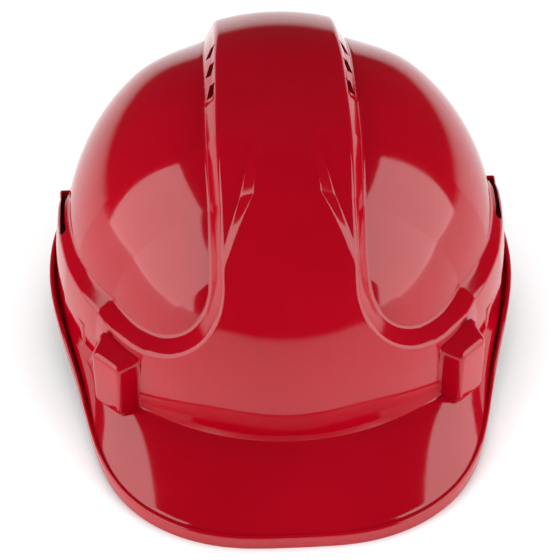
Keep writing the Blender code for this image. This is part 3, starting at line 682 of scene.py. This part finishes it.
def acetal():
    n = Nodes("natural_acetal")
    colour = n.mix(n.noise(120, 3), (0.70, 0.69, 0.64, 1), (0.78, 0.77, 0.73, 1))
    return n.finish(colour, n.span(n.noise(500, 3), 0.3, 0.48), n.bump(n.noise(900, 2), 0.2, 0.03))


def plated_steel():
    n = Nodes("plated_steel")
    rings = n.noise(1800, 4)
    colour = n.mix(n.noise(240, 3), (0.52, 0.52, 0.54, 1), (0.66, 0.66, 0.67, 1))
    return n.finish(colour, n.span(rings, 0.2, 0.42), n.bump(rings, 0.3, 0.02), Metallic=1.0)


def pale_floor():
    n = Nodes("pale_floor")
    colour = n.mix(n.noise(9, 3), (0.86, 0.86, 0.865, 1), (0.89, 0.89, 0.89, 1))
    return n.finish(colour, 0.7)


# ---- Suspension pieces ----


def inner_radius(turn):
    return float(plan_radius(math.radians(turn)) + band_raise(turn)) - WALL


def band_radius(turn, extra=0.0):
    side = BAND_R + extra
    front = BAND_FRONT + extra
    angle = math.radians(turn)
    if abs(turn) >= 90:
        return side
    return side * front / math.hypot(front * math.sin(angle), side * math.cos(angle))


def rounded_profile(low, high, inner, outer, corner, steps=3):
    """A closed profile of (offset outward, height) with rounded corners."""
    made = []
    spots = ((outer, high, 0), (inner, high, 90), (inner, low, 180), (outer, low, 270))
    for radius, height, start in spots:
        centre_r = radius - corner if radius == outer else radius + corner
        centre_z = height - corner if height == high else height + corner
        made += arc_points((centre_r, centre_z), corner, start, start + 90, steps)
    return made


def sweep(name, turns, radius_at, profile, material, body="helmet", replaces=()):
    """A closed profile of (offset, height) swept round the dome's axis."""
    points, count = [], len(profile)
    for turn in turns:
        points += [polar(turn, radius_at(turn) + offset, height) for offset, height in profile]
    faces = ring_faces(len(turns), count)
    faces += [tuple(range(count)), tuple(range(len(points) - count, len(points)))]
    obj = turned_out(mesh_piece(name, points, faces, material, body, replaces))
    obj.data.set_sharp_from_angle(angle=math.radians(50))
    return obj


def steps_between(start, end, step):
    count = max(1, round(abs(end - start) / step))
    return [start + (end - start) * index / count for index in range(count + 1)]


def build_strap(number, turn, layer, material):
    """A strap of webbing from one key over the crown to the opposite one, with its weave laid along it."""
    steps = 40
    top = STRAP_TOP + layer * STRAP_LAYER

    def line(at):
        foot = inner_radius(at) - STRAP_INSET
        made = [Vector(polar(at, foot, STRAP_FOOT)), Vector(polar(at, foot, (STRAP_FOOT + KEY_TOP) / 2))]
        for step in range(steps + 1):
            angle = math.pi / 2 * step / steps
            radius = foot * math.cos(angle) ** (2 / STRAP_POWER)
            height = KEY_TOP + (top - KEY_TOP) * math.sin(angle) ** (2 / STRAP_POWER)
            made.append(Vector(polar(at, radius, height)))
        return made

    other = turn - 180 if turn > 0 else turn + 180
    path = line(turn) + line(other)[:-1][::-1]
    side = (outward(turn) @ Vector((1, 0, 0))).normalized()
    half, thick = STRAP_WIDTH / 2, STRAP_T
    section = [(-half, -0.35), (-half + 0.3, 0), (-half / 2, 0), (0, 0)]
    section += [(half / 2, 0), (half - 0.3, 0), (half, -0.35)]
    section += [(half, -thick + 0.35), (half - 0.3, -thick), (half / 2, -thick), (0, -thick)]
    section += [(-half / 2, -thick), (-half + 0.3, -thick), (-half, -thick + 0.35)]
    points, uvs, run = [], [], 0.0
    for index, here in enumerate(path):
        before, after = path[max(index - 1, 0)], path[min(index + 1, len(path) - 1)]
        out = side.cross(after - before).normalized()
        if out.dot(here - Vector((0, DOME_Y, 40))) < 0:
            out.negate()
        if index:
            run += (here - path[index - 1]).length
        for across, depth in section:
            points.append(here + side * across + out * depth)
            uvs.append((across * MM, run * MM))
    count = len(section)
    faces = ring_faces(len(path), count)
    faces += [tuple(range(count)), tuple(range(len(points) - count, len(points)))]
    name = f"crown_webbing_{number}"
    stands_for = [f"crown_strap_{number}"]
    obj = turned_out(mesh_piece(name, [tuple(p) for p in points], faces, material, "helmet", stands_for))
    layer_uv = obj.data.uv_layers.new(name="weave")
    for loop in obj.data.loops:
        layer_uv.data[loop.index].uv = uvs[loop.vertex_index]
    obj.data.set_sharp_from_angle(angle=math.radians(50))
    return obj


def swell(share, power=3.0):
    """0 at both ends of a cushion and full over its middle."""
    return (1 - abs(2 * share - 1) ** power) ** (1 / power)


def build_cushion(name, turns, back_at, heights, depth, channels, node, material, grow=0.5):
    """A padded strip round the dome's axis, crowned towards the head and sewn in channels."""
    low, high = heights
    rows, columns, corner = 26, len(turns) - 1, 7.0
    points = []
    for inward in (True, False):
        for index, turn in enumerate(turns):
            share = index / columns
            back = back_at(turn)
            from_end = min(share, 1 - share) * columns * math.radians(abs(turns[1] - turns[0])) * back
            gap = max(corner - from_end, 0)
            inset = corner - math.sqrt(corner**2 - gap**2)
            tuck = abs(math.cos(math.pi * channels * share)) ** 40 if channels else 0
            for row in range(rows + 1):
                up = row / rows
                full = swell(share, 8.0) * swell(up)
                height = low + inset + (high - low - 2 * inset) * up
                if inward:
                    radius = back - 0.9 - (depth - 0.9) * full * (1 - 0.45 * tuck)
                else:
                    radius = back - grow * (1 - full)
                points.append(polar(turn, radius, height))
    across = rows + 1
    count = across * (columns + 1)
    faces = []
    for first, flip in ((0, False), (count, True)):
        for index in range(columns):
            for row in range(rows):
                a = first + index * across + row
                face = (a, a + across, a + across + 1, a + 1)
                faces.append(face[::-1] if flip else face)
    edge = [index * across for index in range(columns + 1)]
    edge += [columns * across + row for row in range(1, across)]
    edge += [index * across + rows for index in range(columns - 1, -1, -1)]
    edge += [row for row in range(rows - 1, 0, -1)]
    for here, after in zip(edge, edge[1:] + edge[:1]):
        faces.append((here, after, after + count, here + count))
    obj = turned_out(mesh_piece(name, points, faces, material, "helmet", [node]))
    return obj


def build_crown_pad(material):
    """A round quilted pad under the crossing of the straps."""
    top = STRAP_TOP - STRAP_T - 1.0
    columns, rings = 96, 22
    points = []
    for under in (False, True):
        for ring in range(1, rings + 1):
            radius = PAD_RADIUS * ring / rings
            edge = math.sqrt(max(1 - (ring / rings) ** 6, 0))
            for column in range(columns):
                turn = 360 * column / columns
                tuck = abs(math.cos(math.radians(turn) * 4)) ** 60 * smooth(ring / rings * 3)
                thick = 0.7 + (PAD_T - 0.7) * edge * (1 - 0.4 * tuck)
                height = top - radius**2 / 260 - (thick if under else 0.5 * (1 - edge))
                points.append(polar(turn, radius, height))
    faces = ring_faces(rings, columns)
    half = rings * columns
    faces += ring_faces(rings, columns, first=half)
    last = (rings - 1) * columns
    for column in range(columns):
        after = (column + 1) % columns
        faces.append((last + column, last + after, half + last + after, half + last + column))
    faces += [tuple(range(columns)), tuple(range(half, half + columns))]
    obj = turned_out(mesh_piece("crown_cushion", points, faces, material, "helmet", ["crown_pad"]))
    return obj


def build_stitching(name, line, material):
    """Short raised stitches along a line of (turn, radius, height), all in one piece."""
    spots = [Vector(polar(*spot)) for spot in line]
    forms = []
    for here, after in zip(spots[::2], spots[1::2]):
        along = (after - here).normalized()
        out = Vector((here.x, here.y - DOME_Y, 0)).normalized()
        frame = Matrix((along, along.cross(out).normalized(), out)).transposed()
        forms.append(box_form(((after - here).length * 1.1, 0.55, 0.5), (here + after) / 2, frame, 0.2, 2))
    return joined(name, forms, material, "helmet")


def build_head_harness(plastic, cloth, sewing):
    """The plastic hoop, the pads sewn to it in front and at the nape, and their stitches."""
    low, high = BAND_Z - BAND_H / 2, BAND_Z + BAND_H / 2
    band = rounded_profile(low, high, 0.0, BAND_T, 0.6, 4)
    hoop = steps_between(-BAND_END, BAND_END, 1.5)
    sweep("headband_hoop", hoop, band_radius, band, plastic, "helmet", ["headband"])

    def brow_back(turn):
        return band_radius(turn, -0.4)

    def nape_back(turn):
        return BAND_R - 0.6

    brow = steps_between(-BROW_PAD_END, BROW_PAD_END, 1.0)
    build_cushion("brow_cushion", brow, brow_back, (low + 1, high - 1), BROW_PAD_T, 9, "sweatband", cloth)
    nape = steps_between(180 - NAPE_PAD_HALF, 180 + NAPE_PAD_HALF, 1.0)
    build_cushion("nape_cushion", nape, nape_back, (low, high), NAPE_PAD_T, 4, "nape_pad", cloth)
    for end, height in (("lower", low + STITCH_INSET), ("upper", high - STITCH_INSET)):
        line = [(turn, band_radius(turn, -3.4), height) for turn in steps_between(-66, 66, STITCH_STEP)]
        build_stitching(f"brow_stitches_{end}", line, sewing)
        line = [(turn, BAND_R - 3.5, height) for turn in steps_between(161, 199, STITCH_STEP)]
        build_stitching(f"nape_stitches_{end}", line, sewing)


def build_knob(material):
    """A ribbed knob with rounded edges, hollow behind, turning with the pinion."""
    y0, y1 = KNOB_Y
    rings = [(y0, 13.5, 0), (y0, 15.2, 0), (y0 + 0.25, 15.8, 0.5), (y0 + 0.7, KNOB_R, 1.0)]
    rings += [(y1 - 2.4, KNOB_R, 1.0), (y1 - 1.4, KNOB_R - 0.35, 1.0)]
    rings += [(y1 - 0.7, KNOB_R - 1.0, 0.5), (y1 - 0.2, KNOB_R - 1.9, 0.15), (y1, KNOB_R - 2.9, 0)]
    rings += [(y1, 10.6, 0), (y1 - 0.5, 10.0, 0), (y1 - 0.6, 5.6, 0), (y1 - 0.3, 5.0, 0), (y1 - 0.5, 4.4, 0)]
    rings += [(y1 - 2.8, 3.6, 0), (y1 - 2.8, 1.35, 0), (y0 + 3.9, 1.35, 0), (y0 + 3.9, 3.5, 0), (y0, 3.5, 0)]
    rings += [(y0, 6.5, 0), (y0 + 2.6, 6.5, 0), (y0 + 2.6, 13.5, 0)]
    columns = 192
    points = []
    for y, radius, share in rings:
        for column in range(columns):
            angle = math.tau * column / columns
            wave = math.cos(RIB_COUNT * angle)
            reach = radius + share * RIB_HEIGHT * (1 - 2 * (0.5 - 0.5 * wave) ** 2.2)
            points.append((reach * math.sin(angle), DOME_Y + y, BAND_Z + reach * math.cos(angle)))
    faces = ring_faces(len(rings), columns)
    last = (len(rings) - 1) * columns
    for column in range(columns):
        after = (column + 1) % columns
        faces.append((last + column, last + after, after, column))
    obj = turned_out(mesh_piece("ratchet_knob", points, faces, material, "knob", ["knob"]))
    obj.data.set_sharp_from_angle(angle=math.radians(40))
    return obj


def build_floor(material):
    """A plain floor, washed by its own overhead light so that it stays evenly white round the hat."""
    size = 6.0
    mesh = bpy.data.meshes.new("floor")
    corners = [(-size, -size, 0), (size, -size, 0), (size, size, 0), (-size, size, 0)]
    mesh.from_pydata(corners, [], [(0, 1, 2, 3)])
    mesh.materials.append(material)
    floor = bpy.data.objects.new("floor", mesh)
    bpy.context.collection.objects.link(floor)
    lit = bpy.data.collections.new("floor_only")
    lit.objects.link(floor)
    wash = add_area("floor_wash", (0, 0, 2.0), (0, 0, 0), (3.0, 3.0), 45)
    wash.light_linking.receiver_collection = lit


def add_area(name, location, target, size, power):
    data = bpy.data.lights.new(name, "AREA")
    data.shape = "RECTANGLE"
    data.size, data.size_y = size
    data.energy = power
    obj = bpy.data.objects.new(name, data)
    obj.location = location
    obj.rotation_euler = (Vector(target) - Vector(location)).to_track_quat("-Z", "Y").to_euler()
    bpy.context.collection.objects.link(obj)
    return obj


def add_camera():
    azimuth, elevation, distance = math.radians(-3.0), math.radians(45.1), 1.125
    level = math.cos(elevation)
    back = Vector((math.sin(azimuth) * level, -math.cos(azimuth) * level, math.sin(elevation)))
    right = Vector((math.cos(azimuth), math.sin(azimuth), 0))
    up = back.cross(right)
    data = bpy.data.cameras.new("camera")
    data.lens = 155.5
    data.sensor_width = 36
    camera = bpy.data.objects.new("camera", data)
    target = Vector((0, -0.0038, 0.060))
    camera.location = target + back * distance
    aim = target - up * 0.0158 - right * 0.0012
    camera.rotation_euler = (camera.location - aim).to_track_quat("Z", "Y").to_euler()
    bpy.context.collection.objects.link(camera)
    bpy.context.scene.camera = camera


def add_world():
    world = bpy.data.worlds.new("studio")
    world.use_nodes = True
    world.node_tree.nodes["Background"].inputs["Color"].default_value = (0.8, 0.8, 0.82, 1)
    world.node_tree.nodes["Background"].inputs["Strength"].default_value = 0.06
    bpy.context.scene.world = world


for obj in list(bpy.data.objects):
    bpy.data.objects.remove(obj, do_unlink=True)
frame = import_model()
add_camera()
add_world()
bpy.context.scene.view_settings.view_transform = "Standard"
build_floor(pale_floor())
for name, side in (("softbox_left", -1), ("softbox_right", 1)):
    x, y, z = SOFTBOX_AT
    add_area(name, (side * x, y, z), (0, y, z), SOFTBOX_SIZE, SOFTBOX_POWER)
fill = add_area("top_fill", (0, 0.8, 1.5), (0, 0, 0.1), (1.2, 1.2), 9)
fill.visible_glossy = False

RED = red_moulding()
WEBBING = woven_webbing()
PLASTIC = grained_plastic("harness_plastic", (0.016, 0.016, 0.018), (0.028, 0.028, 0.031))
KNOB_PLASTIC = grained_plastic("knob_plastic", (0.035, 0.035, 0.039), (0.055, 0.055, 0.06), 0.4)
CLOTH = pad_cloth()
ACETAL = acetal()
STEEL = plated_steel()
BY_SLOT = {
    "harness_plastic": PLASTIC,
    "knob_plastic": KNOB_PLASTIC,
    "pinion_plastic": ACETAL,
    "screw_steel": STEEL,
    "pad_fabric": CLOTH,
    "webbing": WEBBING,
}

build_shell(RED)
for layer, turn in enumerate(STRAP_TURNS):
    build_strap(layer + 1, turn, layer, WEBBING)

build_head_harness(PLASTIC, CLOTH, thread())
build_crown_pad(CLOTH)
build_knob(KNOB_PLASTIC)

slots = {entry["node"]: entry["material_slot"] for entry in frame["record"]["subparts"]}
for node, obj in frame["nodes"].items():
    if slots[node] in BY_SLOT:
        for slot in obj.material_slots:
            slot.material = BY_SLOT[slots[node]]
